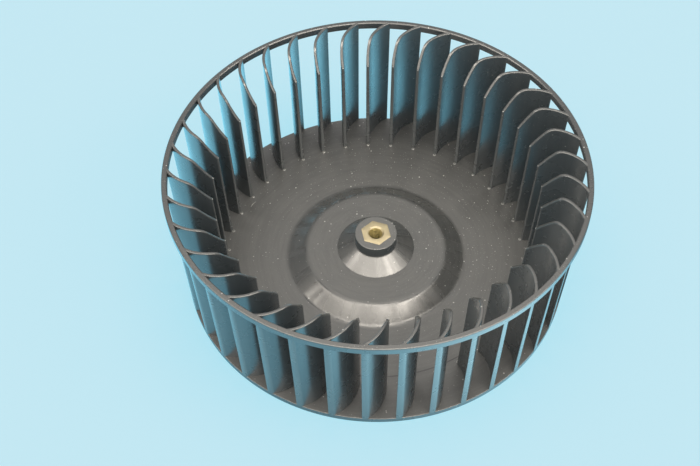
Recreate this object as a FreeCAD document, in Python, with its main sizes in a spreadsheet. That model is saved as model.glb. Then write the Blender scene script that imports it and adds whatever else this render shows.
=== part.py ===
import FreeCAD
import Part
import math
import os

import Sketcher
from FreeCAD import Vector

# Fan wheel of a range hood: one plastic moulding with a brass insert in its hub.
# Millimetres and degrees. +Z is the axis of the wheel, and Z = 0 is the flat underside.

# Sizes that can be set one by one
sizes = [
    # Top ring, which ties the blades together round the eye
    ("wheel_radius", 105.0, "outside of the top ring"),
    ("wheel_height", 74.4, "underside to the top of the ring"),
    ("ring_wall", 2.8, "radial wall of the ring"),
    ("ring_depth", 4.0, "height of the ring along the axis"),
    ("ring_lip", 1.5, "from the outside of the ring to the ridge on top"),
    ("ring_lip_drop", 1.3, "fall of its top from the ridge to the inner wall"),
    ("ring_edge", 0.6, "chamfer of its outer top edge"),
    # Back plate
    ("rim_inset", 5.6, "edge of the plate inside the outside of the ring"),
    ("plate_thickness", 3.2, "back plate"),
    # Blades: curved walls about a leaning axis of their own, thicker at the foot
    ("blade_count", 38, "blades round the wheel"),
    ("blade_curve", 22.05, "radius of the blade's middle, from its own axis"),
    ("blade_facing", 70.0, "way from that axis to the middle of the blade, round from X"),
    ("foot_thickness", 2.1, "blade at the back plate"),
    ("head_thickness", 1.47, "blade at the top"),
    ("foot_axis_inset", 16.5, "blade's own axis inside the edge of the plate, at the foot"),
    ("head_axis_inset", 17.26, "the same inside the blade's outer edge, at the head"),
    ("foot_axis_angle", 6.70, "blade's own axis before the wheel's X axis, at the foot"),
    ("head_axis_angle", 6.07, "the same at the head"),
    ("blade_turn", 100.0, "how far each face is turned, past the inner edge of the blade"),
    ("hollow_lead", 16.0, "how far the hollow starts ahead, to cover the blank's other end"),
    ("foot_depth", 20.6, "outer edge to inner edge along the radius, at the foot"),
    ("tip_depth", 21.3, "the same at the corner where the top slope starts"),
    ("tip_drop", 11.8, "that corner below the top of the wheel"),
    ("shoulder_depth", 11.9, "outer edge to where the slope would meet the level top"),
    ("shoulder_round", 6.0, "round between the slope and the level top"),
    ("blade_hold", 0.3, "how far the blades reach into the wall of the ring"),
    ("blade_top_drop", 0.08, "level blade tops below the ridge of the ring"),
    # Raised middle of the back plate
    ("step_foot_radius", 46.5, "foot of the raised step"),
    ("step_top_radius", 36.8, "edge of the plateau"),
    ("step_height", 10.0, "plateau above the underside"),
    ("step_ease", 1.6, "narrow cones that ease the foot and the edge of the step"),
    ("cone_foot_radius", 20.2, "foot of the cone on the plateau"),
    ("cone_height", 5.6, "cone above the plateau"),
    ("head_ledge", 0.4, "top of the cone outside the round head"),
    ("head_rise", 6.2, "round head of the hub above the cone"),
    ("head_wall", 3.0, "plastic outside the corners of the insert, in the head"),
    ("hub_edge", 0.4, "chamfer of the top edge of the head"),
    # Underside: the wall under the step, and the boss that holds the insert
    ("hollow_wall", 3.0, "wall between the top surface and the hollow below"),
    ("boss_wall", 3.4, "plastic outside the corners of the insert, below the cone"),
    ("boss_lift", 1.0, "lower end of the boss above the underside"),
    # Brass insert
    ("insert_flats", 14.0, "across the flats of the hexagon"),
    ("insert_angle", 43.3, "place of one corner round the axis"),
    ("insert_proud", 0.15, "insert above the head of the hub"),
    ("bore_radius", 3.25, "wall of the threaded bore, at the crests"),
    ("bore_chamfer", 1.25, "chamfer at both mouths of the bore"),
    # Blades are made longer than they end up, and turned back to the outlines above
    ("spare", 2.0, "excess that is turned away"),
]

# Sizes that follow from them
worked_out = [
    ("ring_inside", "wheel_radius - ring_wall"),
    ("ring_underside", "wheel_height - ring_depth"),
    ("ridge_radius", "wheel_radius - ring_lip"),
    ("rim_radius", "wheel_radius - rim_inset"),
    ("head_edge", "ring_inside + blade_hold"),
    ("eye_radius", "rim_radius - foot_depth"),
    ("tip_radius", "head_edge - tip_depth"),
    ("tip_height", "wheel_height - tip_drop"),
    ("shoulder_radius", "head_edge - shoulder_depth"),
    ("blade_top", "wheel_height - blade_top_drop"),
    # The blade's own axis, from inside the plate to over the top
    ("axis_foot_x", "(rim_radius - foot_axis_inset) * cos(foot_axis_angle * 1 deg)"),
    ("axis_foot_y", "-(rim_radius - foot_axis_inset) * sin(foot_axis_angle * 1 deg)"),
    ("axis_head_x", "(head_edge - head_axis_inset) * cos(head_axis_angle * 1 deg)"),
    ("axis_head_y", "-(head_edge - head_axis_inset) * sin(head_axis_angle * 1 deg)"),
    ("mean_thickness", "(foot_thickness + head_thickness) / 2"),
    # Each face is a cylinder. The two axes part by as much as the blade is thicker than its mean
    ("parting_x", "(foot_thickness - mean_thickness) / 2 * cos(blade_facing * 1 deg)"),
    ("parting_y", "(foot_thickness - mean_thickness) / 2 * sin(blade_facing * 1 deg)"),
    ("full_curve", "blade_curve + mean_thickness / 2"),
    ("hollow_curve", "blade_curve - mean_thickness / 2"),
    ("blank", "foot_thickness + spare"),
    ("blade_low", "plate_thickness / 2"),
    ("blade_high", "wheel_height + spare"),
    ("insert_corner", "insert_flats / sqrt(3)"),
    ("head_radius", "insert_corner + head_wall"),
    ("cone_top", "step_height + cone_height"),
    ("cone_top_radius", "head_radius + head_ledge"),
    ("head_height", "cone_top + head_rise"),
    ("boss_radius", "insert_corner + boss_wall"),
    ("insert_length", "head_height + insert_proud - boss_lift"),
    # The hollow below keeps the wall square to the step's slope and to the cone
    ("step_lean", "(step_foot_radius - step_top_radius) / (step_height - plate_thickness)"),
    ("step_across", "hollow_wall * sqrt(1 + step_lean ^ 2)"),
    ("ease_in", "step_ease * step_lean / sqrt(1 + step_lean ^ 2)"),
    ("ease_up", "step_ease / sqrt(1 + step_lean ^ 2)"),
    ("hollow_ceiling", "step_height - hollow_wall"),
    ("hollow_mouth", "step_foot_radius - step_across + plate_thickness * step_lean"),
    ("hollow_edge", "hollow_mouth - hollow_ceiling * step_lean"),
    ("cone_lean", "(cone_foot_radius - cone_top_radius) / cone_height"),
    ("cone_across", "hollow_wall * sqrt(1 + cone_lean ^ 2)"),
    ("cone_hollow_radius", "cone_foot_radius - cone_across + hollow_wall * cone_lean"),
    ("cone_hollow_top", "hollow_ceiling + (cone_hollow_radius - boss_radius) / cone_lean"),
]

# The axis of each face of a blade: where it starts, how far it leans and which way
for face, near, far in [("full", "+", "-"), ("hollow", "-", "+")]:
    worked_out += [
        (f"{face}_foot_x", f"axis_foot_x {near} parting_x"),
        (f"{face}_foot_y", f"axis_foot_y {near} parting_y"),
        (f"{face}_lean_x", f"axis_head_x {far} parting_x - {face}_foot_x"),
        (f"{face}_lean_y", f"axis_head_y {far} parting_y - {face}_foot_y"),
        (f"{face}_lean", f"sqrt({face}_lean_x ^ 2 + {face}_lean_y ^ 2)"),
        (f"{face}_heading", f"atan2({face}_lean_y; {face}_lean_x) / 1 deg"),
    ]

doc = FreeCAD.newDocument("fan_wheel")
sheet = doc.addObject("Spreadsheet::Sheet", "sizes")
for row, (alias, value, note) in enumerate(sizes, start=1):
    sheet.set(f"A{row}", alias)
    sheet.set(f"B{row}", str(value))
    sheet.set(f"C{row}", note)
    sheet.setAlias(f"B{row}", alias)
for row, (alias, formula) in enumerate(worked_out, start=len(sizes) + 2):
    sheet.set(f"A{row}", alias)
    sheet.set(f"B{row}", f"={formula}")
    sheet.setAlias(f"B{row}", alias)
doc.recompute()


def number(expression):
    """Value of an expression over the sheet."""
    value = sheet.evalExpression(expression)
    return float(getattr(value, "Value", value))


def new_body(name):
    body = doc.addObject("PartDesign::Body", name)
    body.Label = name
    body.AllowCompound = True
    return body


def origin_item(body, role):
    """One of the body's own origin planes or axes."""
    return next(item for item in body.Origin.OriginFeatures if item.Role == role)


def new_sketch(body, name, plane_role):
    """Empty sketch on one of the body's own origin planes."""
    sketch = body.newObject("Sketcher::SketchObject", name)
    sketch.AttachmentSupport = [(origin_item(body, plane_role), "")]
    sketch.MapMode = "FlatFace"
    return sketch


def bind(sketch, constraint, name, expression):
    """Add a dimension and tie it to the sheet."""
    index = sketch.addConstraint(constraint)
    sketch.renameConstraint(index, name)
    sketch.setExpression(f"Constraints.{name}", expression)


def place_point(sketch, geometry, end, name, across, up):
    """Tie a point to its distances from the sketch's origin, where "0" is on the axis itself."""
    if across == "0":
        sketch.addConstraint(Sketcher.Constraint("PointOnObject", geometry, end, -2))
    else:
        rule = Sketcher.Constraint("DistanceX", -1, 1, geometry, end, number(across))
        bind(sketch, rule, f"{name}_across", across)
    if up == "0":
        sketch.addConstraint(Sketcher.Constraint("PointOnObject", geometry, end, -1))
    else:
        rule = Sketcher.Constraint("DistanceY", -1, 1, geometry, end, number(up))
        bind(sketch, rule, f"{name}_up", up)


def arc_about(centre, first, last):
    """Anticlockwise arc about a centre, from one point to another."""
    start = math.atan2(first.y - centre.y, first.x - centre.x)
    finish = math.atan2(last.y - centre.y, last.x - centre.x)
    circle = Part.Circle(centre, Vector(0, 0, 1), (first - centre).Length)
    return Part.ArcOfCircle(circle, start, finish if finish > start else finish + 2 * math.pi)


def draw_outline(sketch, corners):
    """Closed outline through named corners (name, across, up, round), with None for a sharp one.

    A rounded corner keeps its own point, which both lines run through, and an arc tangent to both.
    """
    count = len(corners)
    points = [Vector(number(across), number(up), 0) for _, across, up, _ in corners]
    starts = list(points)
    ends = list(points)
    for index, (_, _, _, rounding) in enumerate(corners):
        if rounding is None:
            continue
        back = (points[index - 1] - points[index]).normalize()
        ahead = (points[(index + 1) % count] - points[index]).normalize()
        reach = number(rounding) / math.tan(back.getAngle(ahead) / 2)
        ends[index] = points[index] + back * reach
        starts[index] = points[index] + ahead * reach

    lines = []
    for index in range(count):
        line = Part.LineSegment(starts[index], ends[(index + 1) % count])
        lines.append(sketch.addGeometry(line, False))

    for index, (name, across, up, rounding) in enumerate(corners):
        before = lines[index - 1]
        after = lines[index]
        if rounding is None:
            sketch.addConstraint(Sketcher.Constraint("Coincident", before, 2, after, 1))
            place_point(sketch, after, 1, name, across, up)
            continue
        back = (points[index - 1] - points[index]).normalize()
        ahead = (points[(index + 1) % count] - points[index]).normalize()
        half = back.getAngle(ahead) / 2
        centre = points[index] + (back + ahead).normalize() * (number(rounding) / math.sin(half))
        # A sketch keeps every arc anticlockwise, so at a turn to the right its ends are swapped
        left_turn = ahead.cross(back).z > 0
        arc_start, arc_end = (1, 2) if left_turn else (2, 1)
        first, last = (ends[index], starts[index]) if left_turn else (starts[index], ends[index])
        arc_geometry = sketch.addGeometry(arc_about(centre, first, last), False)
        sketch.addConstraint(Sketcher.Constraint("Tangent", before, 2, arc_geometry, arc_start))
        sketch.addConstraint(Sketcher.Constraint("Tangent", arc_geometry, arc_end, after, 1))
        rule = Sketcher.Constraint("Radius", arc_geometry, number(rounding))
        bind(sketch, rule, f"{name}_round", rounding)
        corner = sketch.addGeometry(Part.Point(points[index]), True)
        sketch.addConstraint(Sketcher.Constraint("PointOnObject", corner, 1, before))
        sketch.addConstraint(Sketcher.Constraint("PointOnObject", corner, 1, after))
        place_point(sketch, corner, 1, name, across, up)


def turned(body, feature_type, name, corners):
    """A full turn of an outline about the wheel's axis."""
    sketch = new_sketch(body, f"{name}_outline", "XZ_Plane")
    draw_outline(sketch, corners)
    feature = body.newObject(feature_type, name)
    feature.Profile = sketch
    feature.ReferenceAxis = (sketch, ["V_Axis"])
    feature.Angle = 360
    doc.recompute()
    return feature


def blade_face(body, feature_type, name, face):
    """A wall as thick as the blank, turned about the axis of one face of the blade.

    The axis leans in an upright plane, which holds the sketch. The wall's outside is the face of
    the blade, and it runs from outside the wheel into the eye.
    """
    sketch = new_sketch(body, f"{name}_strip", "XZ_Plane")
    upright = FreeCAD.Rotation(Vector(0, 1, 0), 1)
    sketch.AttachmentOffset = FreeCAD.Placement(Vector(0, 0, 0), upright)
    sketch.setExpression("AttachmentOffset.Base.x", f"sizes.{face}_foot_x")
    sketch.setExpression("AttachmentOffset.Base.z", f"-sizes.{face}_foot_y")
    sketch.setExpression("AttachmentOffset.Rotation.Angle", f"sizes.{face}_heading")
    lean = f"sizes.{face}_lean"
    outside = f"sizes.{face}_curve"
    inside = f"sizes.{face}_curve - sizes.blank"
    foot = Vector(0, number("sizes.blade_low"), 0)
    head = Vector(number(lean), number("sizes.blade_high"), 0)
    axis = sketch.addGeometry(Part.LineSegment(foot, head), True)
    place_point(sketch, axis, 1, "axis_foot", "0", "sizes.blade_low")
    place_point(sketch, axis, 2, "axis_head", lean, "sizes.blade_high")
    draw_outline(sketch, [
        ("foot_inside", inside, "sizes.blade_low", None),
        ("foot_outside", outside, "sizes.blade_low", None),
        ("head_outside", f"{lean} + {outside}", "sizes.blade_high", None),
        ("head_inside", f"{lean} + {inside}", "sizes.blade_high", None),
    ])
    wall = body.newObject(feature_type, name)
    wall.Profile = sketch
    wall.ReferenceAxis = (sketch, ["Axis0"])
    wall.setExpression("Angle", "sizes.blade_turn")
    return wall


def check(body, volume, what):
    """Stop if a feature failed, or left the solid as it was."""
    doc.recompute()
    for item in doc.Objects:
        if {"Invalid", "Error"} & set(item.State):
            raise RuntimeError(f"{item.Name} failed: {item.State}")
    new_volume = body.Shape.Volume
    if body.Shape.isNull() or not body.Shape.isValid():
        raise RuntimeError(f"{what} left an unsound solid")
    if abs(new_volume - volume) < 1.0:
        raise RuntimeError(f"{what} changed nothing")
    print(f"{body.Label}: {what}, {new_volume / 1000:.1f} cubic centimetres")
    return new_volume


wheel = new_body("blower_wheel")

# One blade, from inside the plate to past the top of the wheel: a blank whose outside is the full
# face, hollowed to the other face
blade_blank = blade_face(wheel, "PartDesign::Revolution", "blade_blank", "full")
volume = check(wheel, 0, "blank of one blade")
blade_hollow = blade_face(wheel, "PartDesign::Groove", "blade_hollow", "hollow")
blade_hollow.Type = "TwoAngles"
blade_hollow.setExpression("Angle2", "sizes.hollow_lead")
volume = check(wheel, volume, "hollow of one blade")

blades = wheel.newObject("PartDesign::PolarPattern", "blades")
blades.TransformMode = "Whole shape"
blades.Axis = (origin_item(wheel, "Z_Axis"), [""])
blades.Angle = 360
blades.setExpression("Occurrences", "sizes.blade_count")
wheel.Tip = blades
volume = check(wheel, volume, "all blades")

# Eye of the wheel: the blades' inner edges, the slope up from each tip and the level tops
turned(wheel, "PartDesign::Groove", "eye", [
    ("eye_foot", "sizes.eye_radius", "0", None),
    ("tip", "sizes.tip_radius", "sizes.tip_height", None),
    ("shoulder", "sizes.shoulder_radius", "sizes.blade_top", "sizes.shoulder_round"),
    ("level_end", "sizes.wheel_radius + 2 * sizes.spare", "sizes.blade_top", None),
    ("over_end", "sizes.wheel_radius + 2 * sizes.spare", "sizes.wheel_height + 2 * sizes.spare", None),
    ("over_eye", "sizes.eye_radius - 2 * sizes.spare", "sizes.wheel_height + 2 * sizes.spare", None),
    ("inside_eye", "sizes.eye_radius - 2 * sizes.spare", "0", None),
])
volume = check(wheel, volume, "eye")

# Back plate with its raised step, cone and hub head, and the hollow and the boss below
turned(wheel, "PartDesign::Revolution", "back_plate", [
    ("boss_centre", "0", "sizes.boss_lift", None),
    ("boss_end", "sizes.boss_radius", "sizes.boss_lift", None),
    ("boss_root", "sizes.boss_radius", "sizes.cone_hollow_top", None),
    ("cone_hollow", "sizes.cone_hollow_radius", "sizes.hollow_ceiling", None),
    ("hollow_edge", "sizes.hollow_edge", "sizes.hollow_ceiling", None),
    ("hollow_mouth", "sizes.hollow_mouth", "0", None),
    ("plate_edge_low", "sizes.rim_radius + sizes.spare", "0", None),
    ("plate_edge_high", "sizes.rim_radius + sizes.spare", "sizes.plate_thickness", None),
    ("step_start", "sizes.step_foot_radius + sizes.step_ease", "sizes.plate_thickness", None),
    ("step_foot", "sizes.step_foot_radius - sizes.ease_in", "sizes.plate_thickness + sizes.ease_up",
     None),
    ("step_edge", "sizes.step_top_radius + sizes.ease_in", "sizes.step_height - sizes.ease_up", None),
    ("plateau", "sizes.step_top_radius - sizes.step_ease", "sizes.step_height", None),
    ("cone_foot", "sizes.cone_foot_radius", "sizes.step_height", None),
    ("cone_top", "sizes.cone_top_radius", "sizes.cone_top", None),
    ("head_foot", "sizes.head_radius", "sizes.cone_top", None),
    ("head_side", "sizes.head_radius", "sizes.head_height - sizes.hub_edge", None),
    ("head_edge", "sizes.head_radius - sizes.hub_edge", "sizes.head_height", None),
    ("head_centre", "0", "sizes.head_height", None),
])
volume = check(wheel, volume, "back plate")

# One cone turns the plate's rim and the blades' outer edges flush, and leaves their heads long
# enough to run over the slope on top of the ring
turned(wheel, "PartDesign::Groove", "outside", [
    ("rim", "sizes.rim_radius", "0", None),
    ("blade_head", "sizes.head_edge", "sizes.ring_underside", None),
    ("ridge", "sizes.ridge_radius + sizes.blade_hold", "sizes.wheel_height", None),
    ("over_ridge", "sizes.ridge_radius + sizes.blade_hold", "sizes.wheel_height + sizes.spare", None),
    ("over_outside", "sizes.wheel_radius + 2 * sizes.spare", "sizes.wheel_height + sizes.spare", None),
    ("under_outside", "sizes.wheel_radius + 2 * sizes.spare", "0", None),
])
volume = check(wheel, volume, "outside")

turned(wheel, "PartDesign::Revolution", "top_ring", [
    ("low_inside", "sizes.ring_inside", "sizes.ring_underside", None),
    ("low_outside", "sizes.wheel_radius", "sizes.ring_underside", None),
    ("side", "sizes.wheel_radius", "sizes.wheel_height - sizes.ring_edge", None),
    ("top_outside", "sizes.wheel_radius - sizes.ring_edge", "sizes.wheel_height", None),
    ("ridge", "sizes.ridge_radius", "sizes.wheel_height", None),
    ("top_inside", "sizes.ring_inside", "sizes.wheel_height - sizes.ring_lip_drop", None),
])
volume = check(wheel, volume, "top ring")


def hexagon(body, name):
    """Regular hexagon about the axis, with one corner at the insert's angle."""
    sketch = new_sketch(body, name, "XY_Plane")
    radius = number("sizes.insert_corner")
    turn = math.radians(number("sizes.insert_angle"))
    corners = []
    for index in range(6):
        angle = turn + index * math.pi / 3
        corners.append(Vector(radius * math.cos(angle), radius * math.sin(angle), 0))
    round_corners = sketch.addGeometry(Part.Circle(Vector(0, 0, 0), Vector(0, 0, 1), radius), True)
    sketch.addConstraint(Sketcher.Constraint("Coincident", round_corners, 3, -1, 1))
    sides = []
    for index in range(6):
        side = Part.LineSegment(corners[index], corners[(index + 1) % 6])
        sides.append(sketch.addGeometry(side, False))
    for index in range(6):
        sketch.addConstraint(Sketcher.Constraint("Coincident", sides[index - 1], 2, sides[index], 1))
        sketch.addConstraint(Sketcher.Constraint("PointOnObject", sides[index], 1, round_corners))
        if index > 0:
            sketch.addConstraint(Sketcher.Constraint("Equal", sides[0], sides[index]))
    rule = Sketcher.Constraint("Radius", round_corners, radius)
    bind(sketch, rule, "corner_radius", "sizes.insert_corner")
    spoke = sketch.addGeometry(Part.LineSegment(Vector(0, 0, 0), corners[0]), True)
    sketch.addConstraint(Sketcher.Constraint("Coincident", spoke, 1, -1, 1))
    sketch.addConstraint(Sketcher.Constraint("Coincident", spoke, 2, sides[0], 1))
    rule = Sketcher.Constraint("Angle", -1, 1, spoke, 1, turn)
    bind(sketch, rule, "corner_angle", "sizes.insert_angle")
    return sketch


# Hexagonal seat right through the hub, filled by the insert
seat = wheel.newObject("PartDesign::Pocket", "insert_seat")
seat.Profile = hexagon(wheel, "seat_hexagon")
seat.Type = "Length"
seat.setExpression("Length", "sizes.head_height + sizes.spare")
seat.Reversed = True
volume = check(wheel, volume, "insert seat")

insert = new_body("hub_insert")
insert.setExpression("Placement.Base.z", "sizes.boss_lift")
bar = insert.newObject("PartDesign::Pad", "hexagon_bar")
bar.Profile = hexagon(insert, "bar_hexagon")
bar.setExpression("Length", "sizes.insert_length")
volume = check(insert, 0, "hexagon bar")

turned(insert, "PartDesign::Groove", "bore", [
    ("low_centre", "0", "0", None),
    ("low_mouth", "sizes.bore_radius + sizes.bore_chamfer", "0", None),
    ("low_wall", "sizes.bore_radius", "sizes.bore_chamfer", None),
    ("high_wall", "sizes.bore_radius", "sizes.insert_length - sizes.bore_chamfer", None),
    ("high_mouth", "sizes.bore_radius + sizes.bore_chamfer", "sizes.insert_length", None),
    ("high_centre", "0", "sizes.insert_length", None),
])
volume = check(insert, volume, "bore")

# Each piece is one sound solid before anything is written
for body in (wheel, insert):
    if len(body.Shape.Solids) != 1:
        raise RuntimeError(f"{body.Label} is in {len(body.Shape.Solids)} pieces")
os.makedirs("parts", exist_ok=True)
for body in (wheel, insert):
    body.Shape.exportStep(f"parts/{body.Label}.step")
    box = body.Shape.BoundBox
    print(f"{body.Label}: {box.XLength:.2f} x {box.YLength:.2f} x {box.ZLength:.2f} mm, "
          f"from Z {box.ZMin:.2f}")
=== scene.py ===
import math

import bpy
import numpy as np
from mathutils import Matrix, Vector


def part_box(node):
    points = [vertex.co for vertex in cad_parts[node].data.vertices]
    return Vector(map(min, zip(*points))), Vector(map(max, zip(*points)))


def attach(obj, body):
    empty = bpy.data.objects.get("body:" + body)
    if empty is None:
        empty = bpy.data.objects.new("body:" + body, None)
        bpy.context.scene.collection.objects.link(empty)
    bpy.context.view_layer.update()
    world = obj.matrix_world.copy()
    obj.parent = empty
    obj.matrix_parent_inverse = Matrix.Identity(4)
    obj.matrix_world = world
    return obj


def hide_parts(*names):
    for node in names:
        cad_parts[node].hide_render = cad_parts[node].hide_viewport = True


# Fan wheel of a range hood: black moulding with curved blades, and a brass insert in its hub.
# Lengths are in millimetres until a mesh is made. +Z is the wheel's axis, and the wheel lies on Z = 0.

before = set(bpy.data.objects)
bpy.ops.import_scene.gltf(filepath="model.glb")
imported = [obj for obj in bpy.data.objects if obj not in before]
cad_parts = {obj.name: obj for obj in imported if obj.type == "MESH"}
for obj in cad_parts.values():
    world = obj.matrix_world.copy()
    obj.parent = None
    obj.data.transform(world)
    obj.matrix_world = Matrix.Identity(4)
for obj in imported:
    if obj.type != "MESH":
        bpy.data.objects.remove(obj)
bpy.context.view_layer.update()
wheelHigh = 1000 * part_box("blower_wheel")[1]
insertLow, insertHigh = [1000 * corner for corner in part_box("hub_insert")]
print("frame loaded")


def linear(hexColour):
    # sRGB hex to linear red, green, blue and alpha
    parts = [int(hexColour[i:i + 2], 16) / 255 for i in (1, 3, 5)]
    return [c / 12.92 if c <= 0.04045 else ((c + 0.055) / 1.055) ** 2.4 for c in parts] + [1.0]


def gridFaces(rows, columns, closed=False):
    # Quads over a grid of rows x columns points. Closed joins the last column to the first
    row = np.arange(rows - 1)[:, None]
    column = np.arange(columns if closed else columns - 1)[None, :]
    after = (column + 1) % columns
    corners = (row * columns + column, row * columns + after,
               (row + 1) * columns + after, (row + 1) * columns + column)
    return np.stack(corners, axis=-1).reshape(-1, 4)


def addMesh(name, points, faces, sharpAngle=35.0, dustAndHighlight=None):
    # Points in millimetres, faces as rows of four point numbers, and how pale each point is drawn, for dust
    # and for painted highlights
    mesh = bpy.data.meshes.new(name)
    mesh.from_pydata((points / 1000).tolist(), [], faces.tolist())
    if dustAndHighlight is not None:
        mesh.attributes.new("dustAndHighlight", "FLOAT", "POINT").data.foreach_set("value", dustAndHighlight)
    mesh.validate()
    mesh.update()
    mesh.shade_smooth()
    mesh.set_sharp_from_angle(angle=math.radians(sharpAngle))
    piece = bpy.data.objects.new(name, mesh)
    bpy.context.scene.collection.objects.link(piece)
    return piece


def roundedOutline(corners, steps=5, hold=0.3):
    # Closed outline through (across, up, round). A round is an arc tangent to both sides. One more
    # point past each end of it keeps the flats beside it flat when they are shaded smooth
    points = np.array([corner[:2] for corner in corners], float)
    outline = []
    for i, (_, _, radius) in enumerate(corners):
        here = points[i]
        if radius == 0:
            outline.append(here)
            continue
        back = points[i - 1] - here
        ahead = points[(i + 1) % len(points)] - here
        back, ahead = back / np.linalg.norm(back), ahead / np.linalg.norm(ahead)
        half = math.acos(np.clip(back @ ahead, -1, 1)) / 2
        reach = radius / math.tan(half)
        middle = back + ahead
        centre = here + middle / np.linalg.norm(middle) * radius / math.sin(half)
        first, last = here + back * reach - centre, here + ahead * reach - centre
        start = math.atan2(first[1], first[0])
        turn = (math.atan2(last[1], last[0]) - start + math.pi) % (2 * math.pi) - math.pi
        angles = start + turn * np.linspace(0, 1, steps + 1)
        outline.append(here + back * (reach + hold))
        outline.extend(centre + radius * np.stack([np.cos(angles), np.sin(angles)], axis=-1))
        outline.append(here + ahead * (reach + hold))
    return np.array(outline)


def turned(outline, columns):
    # Surface of revolution: each point of the outline is carried round the axis. The outline runs
    # anticlockwise and closed, so the faces point outwards
    angle = np.linspace(0, 2 * math.pi, columns, endpoint=False)[None, :]
    closedOutline = np.vstack([outline, outline[:1]])
    radius, up = closedOutline[:, 0, None], closedOutline[:, 1, None]
    points = np.stack([radius * np.cos(angle), radius * np.sin(angle), up + 0 * angle], axis=-1)
    faces = gridFaces(len(closedOutline), columns, closed=True)
    faces = np.where(faces >= len(outline) * columns, faces - len(outline) * columns, faces)
    return points[:-1].reshape(-1, 3), faces


def joined(parts):
    # One list of points and one of faces from several
    points, faces, start = [], [], 0
    for partPoints, partFaces in parts:
        points.append(partPoints)
        faces.append(partFaces + start)
        start += len(partPoints)
    return np.vstack(points), np.vstack(faces)


# Sizes of the moulding. The main ones are the solid's, and the ring's top and small rounds are finer here
wheel = {
    "radius": wheelHigh.x, "height": wheelHigh.z,
    # top ring, which falls outwards from a lip beside the eye. The lip's round takes off lipSpare
    "ringWall": 2.8, "ringDepth": 4.0, "ringLip": 2.35, "ringLipDrop": 0.5, "ringFall": 0.25,
    "ringRound": 0.65, "ringEdgeRound": 0.2, "lipRound": 0.3, "lipSpare": 0.015,
    # blades: curved walls about leaning axes, with small beads at their tips and feet, drawn paler
    "bladeCount": 38, "bladeCurve": 22.05, "bladeFacing": 70.0, "bladeSpare": 2.0,
    "footThickness": 2.1, "headThickness": 1.47,
    "footAxisInset": 16.5, "headAxisInset": 17.26, "footAxisAngle": 6.70, "headAxisAngle": 6.07,
    "footDepth": 20.6, "tipDepth": 21.3, "tipDrop": 11.8, "shoulderDepth": 11.9, "shoulderRound": 6.0,
    "bladeHold": 0.3, "bladeTopDrop": 0.08, "bladeEdgeRound": 0.45, "bladeEdgeBand": 0.3,
    # how much paler the blades' rounded edges are painted: a painted highlight
    "bladeFootDrop": 0.5, "bladeEdgeHighlight": 0.05,
    "tipNub": 0.5, "tipNubInset": 0.3, "footNub": 0.85, "footNubProud": 0.5, "nubRise": 0.4, "nubPaleness": 0.6,
    # back plate with its step, cone and hub head
    "rimInset": 5.6, "plate": 3.2, "rimRound": 0.35, "rimClear": 0.02,
    "stepFoot": 46.5, "stepTop": 36.8, "stepHeight": 10.0, "stepRound": 5.0,
    "coneFoot": 20.2, "coneHeight": 5.6, "coneRound": 0.8, "ledgeRound": 0.12,
    "headLedge": 0.4, "headRise": 6.2, "headWall": 3.0, "headRound": 0.5, "headTopHighlight": 0.05,
    # underside: the hollow below the step and cone, and the boss round the insert
    "hollowWall": 3.0, "hollowRound": 1.5, "mouthRound": 0.5, "coneHollowRound": 0.6,
    "bossWall": 3.4, "bossLift": 1.0, "bossRound": 0.3, "bossRootRound": 0.4,
    "insertFlats": 14.0, "seatInset": 1.2,
    # columns of faces round the plate, and round the ring, eight to a blade
    "plateColumns": 256, "ringColumns": 304,
}

# Crumbs of pale dust on the hub: angle round the axis, distance from it, height and size
crumbs = [(-92, 10.7, 21.7, 0.32), (38, 10.8, 21.7, 0.42), (27, 10.9, 21.6, 0.34), (-18, 11.0, 21.2, 0.30)]
# One fibre of lint on the plate
lint = {"middle": (-67.8, 32.6), "height": 3.4, "length": 4.4, "turn": 57, "bend": 0.3, "radius": 0.18,
        "taper": 0.98}


def bladePoint(radius, up, across):
    # A point of a blade from its distance to the wheel's axis, its height, and its place across the
    # wall, from -1 on the hollow face to 1 on the full face. Each face is a cylinder about a leaning
    # axis, so a level cut through it is a circle, and the law of cosines gives the angle at which
    # that circle is as far from the wheel's axis as the point
    rim = wheel["radius"] - wheel["rimInset"]
    head = wheel["radius"] - wheel["ringWall"] + wheel["bladeHold"]
    axisEnds = []
    for inset, angle, outer in ((wheel["footAxisInset"], wheel["footAxisAngle"], rim),
                                (wheel["headAxisInset"], wheel["headAxisAngle"], head)):
        turn = -math.radians(angle)
        axisEnds.append((outer - inset) * np.array([math.cos(turn), math.sin(turn)]))
    facing = math.radians(wheel["bladeFacing"])
    mean = (wheel["footThickness"] + wheel["headThickness"]) / 2
    parting = (wheel["footThickness"] - mean) / 2 * np.array([math.cos(facing), math.sin(facing)])
    bladeLow, bladeHigh = wheel["plate"] / 2, wheel["height"] + wheel["bladeSpare"]
    share = ((up - bladeLow) / (bladeHigh - bladeLow))[..., None]
    angles = []
    for side in (1, -1):
        centre = (axisEnds[0] + side * parting) * (1 - share) + (axisEnds[1] - side * parting) * share
        curve = wheel["bladeCurve"] + side * mean / 2
        distance = np.hypot(centre[..., 0], centre[..., 1])
        opening = (radius ** 2 + distance ** 2 - curve ** 2) / (2 * radius * distance)
        angles.append(np.arctan2(centre[..., 1], centre[..., 0]) + np.arccos(opening))
    angle = angles[0] * (1 + across) / 2 + angles[1] * (1 - across) / 2
    return np.stack([radius * np.cos(angle), radius * np.sin(angle), up + 0 * angle], axis=-1)


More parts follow.
